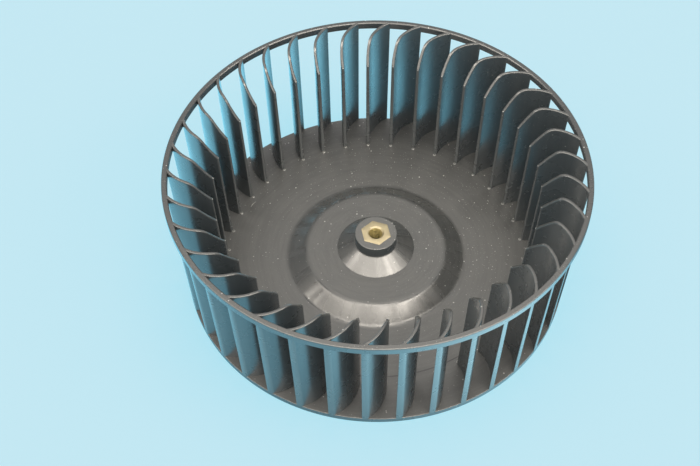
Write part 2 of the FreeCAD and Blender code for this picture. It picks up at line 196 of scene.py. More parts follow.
def bladeOutline(inset, along, upward):
    # The blade's outline in distance from the axis and height, drawn in by the inset, as a patch
    # blended between its four sides: foot, outer edge, inner edge and the top with its round
    low = wheel["plate"] - wheel["bladeFootDrop"]
    rim = wheel["radius"] - wheel["rimInset"]
    head = wheel["radius"] - wheel["ringWall"] + wheel["bladeHold"]
    underRing = wheel["height"] - wheel["ringDepth"]
    ridge = wheel["radius"] - wheel["ringLip"] + wheel["bladeHold"]
    top = wheel["height"] - wheel["bladeTopDrop"] - inset
    tip = np.array([head - wheel["tipDepth"], wheel["height"] - wheel["tipDrop"]])
    shoulder = np.array([head - wheel["shoulderDepth"], wheel["height"] - wheel["bladeTopDrop"]])
    eyeLean = (tip[0] - (rim - wheel["footDepth"])) / tip[1]

    def eye(up):
        return rim - wheel["footDepth"] + eyeLean * up + inset

    def outer(up):
        under = rim + (head - rim) * up / underRing
        beside = head + (ridge - head) * (up - underRing) / wheel["ringDepth"]
        return np.where(up < underRing, under, beside) - inset

    # The slope's line drawn in, met with the top and with the eye's line
    slope = (shoulder - tip) / np.linalg.norm(shoulder - tip)
    start = tip + inset * np.array([slope[1], -slope[0]])
    cornerIn = start + slope * (top - start[1]) / slope[1]
    reachDown = (eye(start[1]) - start[0]) / (slope[0] - eyeLean * slope[1])
    tipIn = start + slope * reachDown
    rounded = roundedOutline([(outer(top), top, 0),
                              (cornerIn[0], cornerIn[1], wheel["shoulderRound"] - inset),
                              (tipIn[0], tipIn[1], 0)], steps=12, hold=0.6)
    lengths = np.concatenate([[0], np.cumsum(np.linalg.norm(np.diff(rounded, axis=0), axis=1))])
    place = along * lengths[-1]
    topSide = np.stack([np.interp(place, lengths, rounded[:, 0]),
                        np.interp(place, lengths, rounded[:, 1])], -1)
    footSide = np.stack([outer(low) + (eye(low) - outer(low)) * along, low + 0 * along], -1)
    outerUp = low + (top - low) * upward
    outerSide = np.stack([outer(outerUp), outerUp], -1)
    innerUp = low + (tipIn[1] - low) * upward
    innerSide = np.stack([eye(innerUp), innerUp], -1)
    s, t = along[:, None, None], upward[None, :, None]
    corners = ((1 - s) * (1 - t) * footSide[0] + s * (1 - t) * footSide[-1]
               + (1 - s) * t * topSide[0] + s * t * topSide[-1])
    return ((1 - t) * footSide[:, None] + t * topSide[:, None]
            + (1 - s) * outerSide[None] + s * innerSide[None] - corners)


def oneBlade():
    # Both faces as grids, joined round the outline by loops that round its edges off and are painted
    # paler, a painted highlight. Columns run from the outer edge to the inner and rows from the foot to the
    # top
    shoulderShare = 0.52
    along = np.concatenate([np.linspace(0, shoulderShare, 9)[:-1], np.linspace(shoulderShare, 1, 10)])
    upward = np.array([0, 0.03, 0.2, 0.4, 0.6, 0.75, 0.86, 0.94, 1.0])
    columns, rows = len(along), len(upward)
    edge = wheel["bladeEdgeRound"]
    middle = (wheel["footThickness"] + wheel["headThickness"]) / 4
    loops = [(edge + wheel["bladeEdgeBand"], 1.0)]
    loops += [(edge * (1 - math.sin(a)), 1 - edge / middle * (1 - math.cos(a)))
              for a in np.linspace(0, math.pi / 2, 4)]
    loops += [(inset, -across) for inset, across in loops[::-1]]
    i, j = np.meshgrid(np.arange(columns), np.arange(rows), indexing="ij")
    index = i * rows + j
    ring = np.concatenate([index[:-1, 0], index[-1, :-1], index[:0:-1, -1], index[0, :0:-1]])
    inner = bladeOutline(loops[0][0], along, upward).reshape(-1, 2)
    full = bladePoint(inner[:, 0], inner[:, 1], np.ones(len(inner)))
    hollow = bladePoint(inner[:, 0], inner[:, 1], -np.ones(len(inner)))
    points = [full, hollow]
    quads = np.stack([index[:-1, :-1], index[1:, :-1], index[1:, 1:], index[:-1, 1:]], -1).reshape(-1, 4)
    faces = [quads, quads[:, ::-1] + len(full)]
    loopIndex = [ring]
    start = 2 * len(full)
    for inset, across in loops[1:-1]:
        place = bladeOutline(inset, along, upward).reshape(-1, 2)[ring]
        points.append(bladePoint(place[:, 0], place[:, 1], np.full(len(place), across)))
        loopIndex.append(start + np.arange(len(ring)))
        start += len(ring)
    loopIndex.append(ring + len(full))
    for first, second in zip(loopIndex[:-1], loopIndex[1:]):
        faces.append(np.stack([np.roll(first, -1), first, second, np.roll(second, -1)], -1))
    points = np.vstack(points)
    edgeHighlight = np.where(np.arange(len(points)) < 2 * len(full), 0.0, wheel["bladeEdgeHighlight"])
    return points, np.vstack(faces), edgeHighlight


def nub(centre, radius, rise, rows=9, columns=12):
    # Small bead: an egg with its poles up and down, each point at radius x sine of its angle from
    # the pole, and rise x cosine of that angle. It is half sunk into what it stands on
    lift = np.linspace(0, math.pi, rows)[:, None]
    angle = np.linspace(0, 2 * math.pi, columns, endpoint=False)[None, :]
    x = radius * np.sin(lift) * np.cos(angle)
    y = radius * np.sin(lift) * np.sin(angle)
    z = rise * np.cos(lift) + 0 * angle
    points = np.stack([x, y, z], -1)[1:-1].reshape(-1, 3)
    faces = gridFaces(rows - 2, columns, closed=True)[:, ::-1]
    top, bottom = len(points), len(points) + 1
    around = np.arange(columns)
    after = (around + 1) % columns
    lowest = len(points) - columns
    topPole, bottomPole = np.full(columns, top), np.full(columns, bottom)
    capTop = np.stack([around, after, topPole, topPole], -1)
    capBottom = np.stack([lowest + after, lowest + around, bottomPole, bottomPole], -1)
    points = np.vstack([points, [[0, 0, rise]], [[0, 0, -rise]]])
    return points + centre, np.vstack([faces, capTop, capBottom])


def lintFibre(count=13):
    # Thin six-sided tube along a parabola that lies on the plate, closed by two faces at each end
    sides = 6
    along = np.linspace(-1, 1, count)
    turn = math.radians(lint["turn"])
    straight, aside = along * lint["length"] / 2, lint["bend"] * (1 - along ** 2)
    line = np.stack([lint["middle"][0] + straight * math.cos(turn) - aside * math.sin(turn),
                     lint["middle"][1] + straight * math.sin(turn) + aside * math.cos(turn),
                     lint["height"] + 0 * along], -1)
    ahead = np.gradient(line, axis=0)
    ahead /= np.linalg.norm(ahead, axis=1)[:, None]
    side = np.stack([-ahead[:, 1], ahead[:, 0], 0 * along], -1)
    angle = np.linspace(0, 2 * math.pi, sides, endpoint=False)[None, :, None]
    thick = lint["radius"] * np.sqrt(1 - lint["taper"] * along ** 2)[:, None, None]
    upright = np.array([0, 0, 1.0])
    points = line[:, None] + thick * (np.cos(angle) * side[:, None] + np.sin(angle) * upright)
    faces = gridFaces(count, sides, closed=True)[:, ::-1]
    first = np.array([[5, 4, 3, 2], [5, 2, 1, 0]])
    last = np.array([[0, 1, 2, 5], [5, 2, 3, 4]]) + (count - 1) * sides
    return points.reshape(-1, 3), np.vstack([faces, first[:, ::-1], last[:, ::-1]])


def aroundTheWheel(points, faces):
    # The same piece at each blade's place
    copies = []
    for k in range(wheel["bladeCount"]):
        turn = 2 * math.pi * k / wheel["bladeCount"]
        cosine, sine = math.cos(turn), math.sin(turn)
        spin = np.array([[cosine, -sine, 0], [sine, cosine, 0], [0, 0, 1]])
        copies.append((points @ spin.T, faces))
    return joined(copies)


def plateOutline():
    # Half of a cut through the back plate, step, cone and hub head, and the hollow and boss below
    rim = wheel["radius"] - wheel["rimInset"]
    corner = wheel["insertFlats"] / math.sqrt(3)
    coneTop = wheel["stepHeight"] + wheel["coneHeight"]
    headRadius = corner + wheel["headWall"]
    headTop = coneTop + wheel["headRise"]
    boss = corner + wheel["bossWall"]
    stepLean = (wheel["stepFoot"] - wheel["stepTop"]) / (wheel["stepHeight"] - wheel["plate"])
    coneTopRadius = headRadius + wheel["headLedge"]
    coneLean = (wheel["coneFoot"] - coneTopRadius) / wheel["coneHeight"]
    wall = wheel["hollowWall"]
    ceiling = wheel["stepHeight"] - wall
    mouth = wheel["stepFoot"] - wall * math.hypot(1, stepLean) + wheel["plate"] * stepLean
    coneHollow = wheel["coneFoot"] - wall * math.hypot(1, coneLean) + wall * coneLean
    rimLean = ((wheel["bladeHold"] + wheel["rimInset"] - wheel["ringWall"])
               / (wheel["height"] - wheel["ringDepth"]))
    rimTop = rim + rimLean * wheel["plate"] - wheel["rimClear"]
    seat = wheel["insertFlats"] / 2 - wheel["seatInset"]
    return roundedOutline([
        (seat, wheel["bossLift"], 0),
        (boss, wheel["bossLift"], wheel["bossRound"]),
        (boss, ceiling + (coneHollow - boss) / coneLean, wheel["bossRootRound"]),
        (coneHollow, ceiling, wheel["coneHollowRound"]),
        (mouth - ceiling * stepLean, ceiling, wheel["hollowRound"]),
        (mouth, 0, wheel["mouthRound"]),
        (rim, 0, wheel["rimRound"]),
        (rimTop, wheel["plate"], wheel["rimRound"]),
        (wheel["stepFoot"], wheel["plate"], wheel["stepRound"]),
        (wheel["stepTop"], wheel["stepHeight"], wheel["stepRound"]),
        (wheel["coneFoot"], wheel["stepHeight"], wheel["coneRound"]),
        (coneTopRadius, coneTop, wheel["ledgeRound"]),
        (headRadius, coneTop, 0),
        (headRadius, headTop, wheel["headRound"]),
        (seat, headTop, 0),
    ])


def ringOutline():
    # Half of a cut through the top ring
    inside = wheel["radius"] - wheel["ringWall"]
    underside = wheel["height"] - wheel["ringDepth"]
    return roundedOutline([
        (inside, underside, wheel["ringEdgeRound"]),
        (wheel["radius"], underside, wheel["ringEdgeRound"]),
        (wheel["radius"], wheel["height"] - wheel["ringFall"], wheel["ringRound"]),
        (wheel["radius"] - wheel["ringLip"], wheel["height"] + wheel["lipSpare"], wheel["lipRound"]),
        (inside, wheel["height"] - wheel["ringLipDrop"], wheel["ringEdgeRound"]),
    ], hold=0.12)


def mouldedWheel():
    plate = turned(plateOutline(), wheel["plateColumns"])
    ring = turned(ringOutline(), wheel["ringColumns"])
    bladePoints, bladeFaces, edgeHighlight = oneBlade()
    blades = aroundTheWheel(bladePoints, bladeFaces)
    rim = wheel["radius"] - wheel["rimInset"]
    head = wheel["radius"] - wheel["ringWall"] + wheel["bladeHold"]
    tipUp = np.array(wheel["height"] - wheel["tipDrop"])
    tipReach = np.array(head - wheel["tipDepth"] + wheel["tipNubInset"])
    tipPlace = bladePoint(tipReach, tipUp, np.array(0.0))
    footReach = np.array(rim - wheel["footDepth"] - wheel["footNubProud"])
    footPlace = bladePoint(footReach, np.array(wheel["plate"]), np.array(0.0))
    nubs = aroundTheWheel(*joined([nub(tipPlace, wheel["tipNub"], wheel["nubRise"]),
                                   nub(footPlace, wheel["footNub"], wheel["nubRise"])]))
    specks = [lintFibre()]
    for angle, radius, up, size in crumbs:
        turn = math.radians(angle)
        specks.append(nub(np.array([radius * math.cos(turn), radius * math.sin(turn), up]), size, size))
    specks = joined(specks)
    headTop = wheel["stepHeight"] + wheel["coneHeight"] + wheel["headRise"]
    # The hub head's top and its round are painted paler: a painted highlight
    headHighlight = np.where(plate[0][:, 2] > headTop - wheel["headRound"], wheel["headTopHighlight"], 0.0)
    # How pale each point is drawn: painted highlights on the hub head's top and the blades' rounded edges,
    # paler beads, and dust on the crumbs and lint
    dustAndHighlight = np.concatenate([headHighlight, np.zeros(len(ring[0])), np.tile(edgeHighlight, wheel["bladeCount"]),
                           np.full(len(nubs[0]), wheel["nubPaleness"]), np.ones(len(specks[0]))])
    return addMesh("moulded_wheel", *joined([plate, ring, blades, nubs, specks]), dustAndHighlight=dustAndHighlight)


# Sizes of the brass insert. The groove of the thread rises from a share of its pitch that stays level
insert = {
    "cornerAngle": 43.3, "edgeRound": 0.14, "columns": 144,
    "boreRadius": 3.25, "boreChamfer": 1.0, "mouthBand": 0.25,
    "threadPitch": 1.25, "threadDepth": 0.66, "threadSteps": 10, "grooveRise": 1.6, "crestShare": 0.45,
}


def hexagonReach(angle, flats):
    # Distance from the axis to a hexagon's side, in each direction
    cornerAngle = math.radians(insert["cornerAngle"])
    inSide = (angle - cornerAngle) % (math.pi / 3) - math.pi / 6
    return flats / 2 / np.cos(inSide)


def threadedInsert():
    # Outside: the hexagon's reach in each direction, drawn in at its ends. Inside: the bore's radius
    # swells with height and angle together, which makes the helix, or follows the chamfer where that
    # is wider
    low, high = insertLow.z, insertHigh.z
    around = insert["columns"]
    angle = (np.arange(around) / around * 2 * math.pi + math.radians(insert["cornerAngle"]))[None, :]
    rows = []
    outside = hexagonReach(angle, wheel["insertFlats"])
    edge = insert["edgeRound"]
    midEdge = 0.3 * edge  # how far in and down the middle of the edge's round lies
    for up, drawIn in ((low, edge), (low + midEdge, midEdge), (low + edge, 0),
                       (high - edge, 0), (high - midEdge, midEdge), (high, edge)):
        rows.append((outside - drawIn, up + 0 * angle))
    mouth = insert["boreRadius"] + insert["boreChamfer"]
    rows.append((mouth + insert["mouthBand"] + 0 * angle, high + 0 * angle))
    step = insert["threadPitch"] / insert["threadSteps"]
    for up in np.linspace(high, low, int((high - low) / step) + 1):
        wave = (up / insert["threadPitch"] - angle / (2 * math.pi)) % 1
        rise = insert["grooveRise"] * (0.5 - np.abs(wave - 0.5)) / 0.5 - insert["crestShare"]
        groove = np.clip(rise, 0, 1)
        thread = insert["boreRadius"] + insert["threadDepth"] * groove * groove * (3 - 2 * groove)
        chamfer = mouth - min(high - up, up - low)
        rows.append((np.maximum(thread, chamfer), up + 0 * angle))
    rows.append((mouth + insert["mouthBand"] + 0 * angle, low + 0 * angle))
    radius = np.vstack([row[0] for row in rows])
    up = np.vstack([row[1] for row in rows])
    spread = angle + 0 * radius
    points = np.stack([radius * np.cos(spread), radius * np.sin(spread), up], -1).reshape(-1, 3)
    faces = gridFaces(len(rows) + 1, around, closed=True)
    faces = np.where(faces >= len(points), faces - len(points), faces)
    return addMesh("brass_insert", points, faces, sharpAngle=28.0)


wheelPiece = mouldedWheel()
insertPiece = threadedInsert()
print("meshes made:", len(wheelPiece.data.polygons), "and", len(insertPiece.data.polygons), "faces")


def newMaterial(name):
    material = bpy.data.materials.new(name)
    material.use_nodes = True
    tree = material.node_tree
    tree.nodes.clear()
    return material, tree


def addNode(tree, kind, inputs=(), **settings):
    # One shader node with its settings. Its inputs come by name, or in the node's own order, as values
    # or as links, and a node among them stands for its first output that is in use
    node = tree.nodes.new(kind)
    for key, value in settings.items():
        setattr(node, key, value)
    if not isinstance(inputs, dict):
        inputs = dict(enumerate(inputs))
    for key, value in inputs.items():
        if isinstance(value, bpy.types.Node):
            value = next(out for out in value.outputs if out.enabled)
        if isinstance(value, bpy.types.NodeSocket):
            tree.links.new(value, node.inputs[key])
        else:
            node.inputs[key].default_value = value
    return node


# A Mix node's inputs by number: its share, the two ends as numbers, and the two ends as colours.
# Map Range takes its value, the two ends that it comes from and the two ends that it goes to
mixShare, numberFrom, numberTo, colourFrom, colourTo = 0, 2, 3, 6, 7

# Black ABS, injection moulded and handled: a deep satin skin whose reflections are clear on the
# blades and hub and hazy on the flat plate, with pale dust on whatever faces up
plastic = {
    # upright faces take a bluer, paler colour than the plastic: a painted reflection
    "colour": "#3f403f", "sideSheenColour": "#474d50", "sideSheenFaces": (0.1, 0.5),
    "ior": 1.85,  # ABS has about 1.54. The clear reflections on the real one ask for more
    "bladeRoughness": 0.26, "slopeRoughness": 0.25, "coneRoughness": 0.29, "flatRoughness": 0.42,
    # what counts as flat and as sloping, by the upward part of the normal, and where the cone starts
    "flatFaces": (0.93, 0.995), "slopeFaces": (0.4, 0.6), "flatTop": 30.0, "coneAbove": 0.2,
    # how much dust lies on faces that look up, low and high on the wheel, on upright ones, and outside
    "dustAndHighlight": "#d9d8d0", "film": 0.059, "highFilm": 0.03, "sideFilm": 0.02, "dustFaces": (0.1, 0.7),
    "outerFilm": 0.04, "outerReach": (88.0, 101.0), "patches": (0.6, 1.4),
    # a mould line, painted near-black as the shade in its groove, on the near part of the plate only
    "lineRadius": 75.8, "lineHalf": 0.34, "lineReach": (-0.74, -0.86), "lineShadeColour": "#030303",
    # how flow marks and streaks change the roughness
    "flowSize": 18.0, "flowChange": (-0.03, 0.05), "streakTurns": 5.0, "streakChange": (-0.06, 0.08),
    "arcWidth": 1.6, "arcTurns": 2.5, "grainSize": 0.35, "grainDepth": 0.02, "grainStrength": 0.25,
    # spacing, size, share left out and how pale, where their edges fade, and where more of them lie
    "specks": ((3.4, 0.85, 0.72, 0.85), (2.0, 0.52, 0.60, 0.55), (1.1, 0.38, 0.40, 0.24)),
    "speckEdge": (0.3, 0.5), "speckFaces": (0.0, 0.7), "sideSpecks": 0.2,
    "moreSpecks": 2.0, "moreFrom": (-20.0, 40.0),
}


def dustSpecks(tree, place, spacing, size, leftOut, pale):
    # Round specks, one in each cell of a scattered pattern, with some of the cells left empty
    cells = addNode(tree, "ShaderNodeTexVoronoi", {"Vector": place, "Scale": 1000 / spacing})
    core, edge = [share * size / spacing for share in plastic["speckEdge"]]
    speck = addNode(tree, "ShaderNodeMapRange", (cells.outputs["Distance"], core, edge, pale, 0.0))
    draw = addNode(tree, "ShaderNodeSeparateColor", {"Color": cells.outputs["Color"]})
    kept = addNode(tree, "ShaderNodeMath", (draw.outputs["Red"], leftOut), operation="GREATER_THAN")
    return addNode(tree, "ShaderNodeMath", (speck, kept), operation="MULTIPLY")


def blackPlastic():
    material, tree = newMaterial("moulded_black_abs")
    place = addNode(tree, "ShaderNodeTexCoord").outputs["Object"]
    height = addNode(tree, "ShaderNodeSeparateXYZ", (place,)).outputs["Z"]
    normal = addNode(tree, "ShaderNodeNewGeometry").outputs["Normal"]
    upward = addNode(tree, "ShaderNodeSeparateXYZ", (normal,)).outputs["Z"]
    across = addNode(tree, "ShaderNodeVectorMath", (place, (1, 1, 0)), operation="MULTIPLY")
    heading = addNode(tree, "ShaderNodeVectorMath", (across,), operation="NORMALIZE")
    reach = addNode(tree, "ShaderNodeVectorMath", (across,), operation="LENGTH")

    # Where the surface is flat, and where it slopes, both below the blades' heads
    low = addNode(tree, "ShaderNodeMath", (height, plastic["flatTop"] / 1000), operation="LESS_THAN")
    level = addNode(tree, "ShaderNodeMapRange", (upward, *plastic["flatFaces"]))
    flat = addNode(tree, "ShaderNodeMath", (level, low), operation="MULTIPLY")
    leaning = addNode(tree, "ShaderNodeMapRange", (upward, *plastic["slopeFaces"]))
    slope = addNode(tree, "ShaderNodeMath", (leaning, low), operation="MULTIPLY")
    coneStart = (wheel["stepHeight"] + plastic["coneAbove"]) / 1000
    onCone = addNode(tree, "ShaderNodeMath", (height, coneStart), operation="GREATER_THAN")

    # Flow marks all over, wiping marks that run round the axis, and streaks of the melt out from it
    flow = addNode(tree, "ShaderNodeTexNoise", {
        "Vector": place, "Scale": 1000 / plastic["flowSize"], "Detail": 4.0, "Roughness": 0.6})
    rings = addNode(tree, "ShaderNodeMath", (reach, 1000 / plastic["arcWidth"]), operation="MULTIPLY")
    ringPlace = addNode(tree, "ShaderNodeCombineXYZ", {"Z": rings})
    arcTurns = (plastic["arcTurns"],) * 3
    arcPlace = addNode(tree, "ShaderNodeVectorMath", (heading, arcTurns, ringPlace),
                       operation="MULTIPLY_ADD")
    arcs = addNode(tree, "ShaderNodeTexNoise", {
        "Vector": arcPlace, "Scale": 1.0, "Detail": 3.0, "Roughness": 0.7})
    streaks = addNode(tree, "ShaderNodeTexNoise", {
        "Vector": heading, "Scale": plastic["streakTurns"], "Detail": 2.0})
    grain = addNode(tree, "ShaderNodeTexNoise", {
        "Vector": place, "Scale": 1000 / plastic["grainSize"], "Detail": 2.0})

    # Roughness by place, less even where flow marks and streaks cross it
    sloping = addNode(tree, "ShaderNodeMix", {
        mixShare: onCone, numberFrom: plastic["slopeRoughness"], numberTo: plastic["coneRoughness"]},
        data_type="FLOAT")
    smooth = addNode(tree, "ShaderNodeMix", {
        mixShare: slope, numberFrom: plastic["bladeRoughness"], numberTo: sloping}, data_type="FLOAT")
    skin = addNode(tree, "ShaderNodeMix", {
        mixShare: flat, numberFrom: smooth, numberTo: plastic["flatRoughness"]}, data_type="FLOAT")
    uneven = addNode(tree, "ShaderNodeMapRange", (flow, 0.3, 0.7, *plastic["flowChange"]))
    streaky = addNode(tree, "ShaderNodeMapRange", (streaks, 0.35, 0.65, *plastic["streakChange"]))
    marked = addNode(tree, "ShaderNodeMath", (streaky, slope, uneven), operation="MULTIPLY_ADD")
    rough = addNode(tree, "ShaderNodeMath", (skin, marked), operation="ADD")

    # Specks of dust, more of them on the back right of the plate
    speck, *others = [dustSpecks(tree, place, *values) for values in plastic["specks"]]
    for other in others:
        speck = addNode(tree, "ShaderNodeMath", (speck, other), operation="MAXIMUM")
    sideways = addNode(tree, "ShaderNodeVectorMath", (place, (0.7, 0.7, 0)), operation="DOT_PRODUCT")
    moreFrom, moreTo = [length / 1000 for length in plastic["moreFrom"]]
    drift = addNode(tree, "ShaderNodeMapRange", (sideways, moreFrom, moreTo, 1.0, plastic["moreSpecks"]))
    settled = addNode(tree, "ShaderNodeMath", (speck, drift), operation="MULTIPLY")
    faceUp = addNode(tree, "ShaderNodeMapRange", (upward, *plastic["speckFaces"], plastic["sideSpecks"]))
    fallen = addNode(tree, "ShaderNodeMath", (settled, faceUp), operation="MULTIPLY")

    # A film of dust, patchy along the wiping marks, and the paleness that the mesh holds: dust, and painted
    # highlights on edges and the hub head
    lies = addNode(tree, "ShaderNodeMix", {
        mixShare: low, numberFrom: plastic["highFilm"], numberTo: plastic["film"]}, data_type="FLOAT")
    film = addNode(tree, "ShaderNodeMapRange", (upward, *plastic["dustFaces"], plastic["sideFilm"], lies))
    outerFrom, outerTo = [length / 1000 for length in plastic["outerReach"]]
    outer = addNode(tree, "ShaderNodeMapRange", (reach, outerFrom, outerTo, 0.0, plastic["outerFilm"]))
    blown = addNode(tree, "ShaderNodeMath", (film, outer), operation="MAXIMUM")
    patchy = addNode(tree, "ShaderNodeMapRange", (arcs, 0.3, 0.7, *plastic["patches"]))
    held = addNode(tree, "ShaderNodeAttribute", attribute_name="dustAndHighlight").outputs["Fac"]
    filmAndHighlight = addNode(tree, "ShaderNodeMath", (blown, patchy, held), operation="MULTIPLY_ADD")
    dustAndHighlightShare = addNode(tree, "ShaderNodeMath", (fallen, filmAndHighlight), operation="MAXIMUM")

    # The mould line, painted near-black as the shade in its groove, on the near part of the plate
    lineHalf = plastic["lineHalf"] / 1000
    onLine = addNode(tree, "ShaderNodeMath", (reach, plastic["lineRadius"] / 1000, lineHalf),
                     operation="COMPARE")
    northward = addNode(tree, "ShaderNodeSeparateXYZ", (heading,)).outputs["Y"]
    begins, full = plastic["lineReach"]
    near = addNode(tree, "ShaderNodeMapRange", (northward, full, begins, 1.0, 0.0))
    shadeLineNear = addNode(tree, "ShaderNodeMath", (onLine, near), operation="MULTIPLY")
    line = addNode(tree, "ShaderNodeMath", (shadeLineNear, flat), operation="MULTIPLY")

    # Upright faces painted bluer and paler than the plastic: a painted reflection
    unsheened = addNode(tree, "ShaderNodeMapRange", (upward, *plastic["sideSheenFaces"]))
    sheened = addNode(tree, "ShaderNodeMix", {
        mixShare: unsheened, colourFrom: linear(plastic["sideSheenColour"]),
        colourTo: linear(plastic["colour"])}, data_type="RGBA")
    dustedAndHighlit = addNode(tree, "ShaderNodeMix", {
        mixShare: dustAndHighlightShare, colourFrom: sheened, colourTo: linear(plastic["dustAndHighlight"])}, data_type="RGBA")
    colour = addNode(tree, "ShaderNodeMix", {
        mixShare: line, colourFrom: dustedAndHighlit, colourTo: linear(plastic["lineShadeColour"])}, data_type="RGBA")
    bump = addNode(tree, "ShaderNodeBump", {
        "Height": grain, "Strength": plastic["grainStrength"], "Distance": plastic["grainDepth"] / 1000})
    shader = addNode(tree, "ShaderNodeBsdfPrincipled", {
        "Base Color": colour, "Roughness": rough, "IOR": plastic["ior"], "Normal": bump})
    addNode(tree, "ShaderNodeOutputMaterial", {"Surface": shader})
    return material


# Turned brass, pale and satin where it was faced off and a little dulled by handling, and painted
# darker down the bore as painted shade. A ring of the tool marks is as wide as 2 pi of the mark's size
brass = {
    "colour": "#b8ad90", "bore": "#84784e", "boreReach": 4.6, "chamferShare": 0.9, "roughness": 0.60,
    "toolMark": 0.25, "markDepth": 0.02, "markStrength": 0.15, "markWander": 0.4,
}


def turnedBrass():
    material, tree = newMaterial("turned_brass")
    place = addNode(tree, "ShaderNodeTexCoord").outputs["Object"]
    scale = 1000 / brass["toolMark"] / 20  # a Wave texture multiplies its scale by 20
    marks = addNode(tree, "ShaderNodeTexWave", {
        "Vector": place, "Scale": scale, "Distortion": brass["markWander"], "Detail": 2.0},
        wave_type="RINGS", rings_direction="Z")
    bump = addNode(tree, "ShaderNodeBump", {
        "Height": marks.outputs["Fac"], "Strength": brass["markStrength"],
        "Distance": brass["markDepth"] / 1000})
    across = addNode(tree, "ShaderNodeVectorMath", (place, (1, 1, 0)), operation="MULTIPLY")
    reach = addNode(tree, "ShaderNodeVectorMath", (across,), operation="LENGTH")
    near = addNode(tree, "ShaderNodeMath", (reach, brass["boreReach"] / 1000), operation="LESS_THAN")
    height = addNode(tree, "ShaderNodeSeparateXYZ", (place,)).outputs["Z"]
    boreTop = (insertHigh.z - brass["chamferShare"] * insert["boreChamfer"]) / 1000
    below = addNode(tree, "ShaderNodeMath", (height, boreTop), operation="LESS_THAN")
    inBore = addNode(tree, "ShaderNodeMath", (near, below), operation="MULTIPLY")
    # The bore is painted darker: painted shade down the hole
    colour = addNode(tree, "ShaderNodeMix", {
        mixShare: inBore, colourFrom: linear(brass["colour"]), colourTo: linear(brass["bore"])},
        data_type="RGBA")
    shader = addNode(tree, "ShaderNodeBsdfPrincipled", {
        "Base Color": colour, "Metallic": 1.0, "Roughness": brass["roughness"], "Normal": bump})
    addNode(tree, "ShaderNodeOutputMaterial", {"Surface": shader})
    return material


wheelPiece.data.materials.append(blackPlastic())
insertPiece.data.materials.append(turnedBrass())
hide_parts("blower_wheel")
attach(wheelPiece, "root")
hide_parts("hub_insert")
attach(insertPiece, "root")
print("materials given")

# Studio: a pale blue card as floor, soft boxes behind the camera and over the far side, and a little
# even light. The card looks pale in the light and bluer in its own shadow, and in reflections it glows
# bluer and brighter: a painted reflection
studio = {
    "cardColour": "#c9eaf4", "cardInLight": (0.33, 0.13, 0.06), "cardSize": 8000.0,
    "cardReflected": (0.26, 0.75, 0.98), "cardReflectedPale": (0.50, 0.84, 0.96),
    "cardReflectedStrength": 2.2, "cardReflectedSides": (0.7, 1.85), "cardReflectedFarRight": 0.3,
    # where on the card those change: how far in front, and from the left to the right of it
    "frontEnds": (-100.0, 0.0), "sideEnds": (-30.0, 120.0), "paleEnds": (-20.0, 120.0),
    "farRightEnds": (50.0, 120.0), "contactShadowReach": 40.0,
    "airColour": "#eceef0", "airStrength": 0.7,
}


def blueCard():
    # For the camera, the card glows with its colour less the part that only light adds
    material, tree = newMaterial("pale_blue_card")
    path = addNode(tree, "ShaderNodeLightPath")
    colour = linear(studio["cardColour"])
    glow = [whole - part for whole, part in zip(colour, studio["cardInLight"])] + [1.0]
    steady = addNode(tree, "ShaderNodeEmission", {"Color": glow})
    lit = addNode(tree, "ShaderNodeBsdfDiffuse", {"Color": (*studio["cardInLight"], 1.0)})
    seen = addNode(tree, "ShaderNodeAddShader", (steady, lit))
    plain = addNode(tree, "ShaderNodeBsdfDiffuse", {"Color": colour})
    # Ambient occlusion darkens the card's glow in reflections near the wheel: a painted contact shadow
    paintedContactShadow = addNode(tree, "ShaderNodeAmbientOcclusion", {"Distance": studio["contactShadowReach"] / 1000},
                      samples=8).outputs["AO"]

    # In reflections the card glows, a painted reflection: in front of the wheel dim on the left, and bright
    # and pale on the right
    place = addNode(tree, "ShaderNodeTexCoord").outputs["Object"]
    spot = addNode(tree, "ShaderNodeSeparateXYZ", (place,))
    ends = {name: [length / 1000 for length in studio[name]]
            for name in ("frontEnds", "sideEnds", "paleEnds", "farRightEnds")}
    inFront = addNode(tree, "ShaderNodeMapRange", (spot.outputs["Y"], *ends["frontEnds"], 1.0, 0.0))
    side = addNode(tree, "ShaderNodeMapRange", (
        spot.outputs["X"], *ends["sideEnds"], *studio["cardReflectedSides"]))
    beyond = addNode(tree, "ShaderNodeMapRange", (
        spot.outputs["X"], *ends["farRightEnds"], 1.0, studio["cardReflectedFarRight"]))
    even = addNode(tree, "ShaderNodeMix", {mixShare: inFront, numberFrom: beyond, numberTo: side},
                   data_type="FLOAT")
    onRight = addNode(tree, "ShaderNodeMapRange", (spot.outputs["X"], *ends["paleEnds"], 0.0, 1.0))
    paleness = addNode(tree, "ShaderNodeMath", (inFront, onRight), operation="MULTIPLY")
    mirroredColour = addNode(tree, "ShaderNodeMix", {
        mixShare: paleness, colourFrom: (*studio["cardReflected"], 1.0),
        colourTo: (*studio["cardReflectedPale"], 1.0)}, data_type="RGBA")
    nearby = addNode(tree, "ShaderNodeMath", (paintedContactShadow, studio["cardReflectedStrength"]),
                     operation="MULTIPLY")
    strength = addNode(tree, "ShaderNodeMath", (nearby, even), operation="MULTIPLY")
    mirrored = addNode(tree, "ShaderNodeEmission", {"Color": mirroredColour, "Strength": strength})
    other = addNode(tree, "ShaderNodeMixShader", (path.outputs["Is Glossy Ray"], plain, mirrored))
    surface = addNode(tree, "ShaderNodeMixShader", (path.outputs["Is Camera Ray"], other, seen))
    addNode(tree, "ShaderNodeOutputMaterial", {"Surface": surface})
    return material


def addFloor():
    half = studio["cardSize"] / 2
    points = np.array([[-half, -half, 0], [half, -half, 0], [half, half, 0], [-half, half, 0]], float)
    floor = addMesh("floor", points, np.array([[0, 1, 2, 3]]))
    floor.data.materials.append(blueCard())


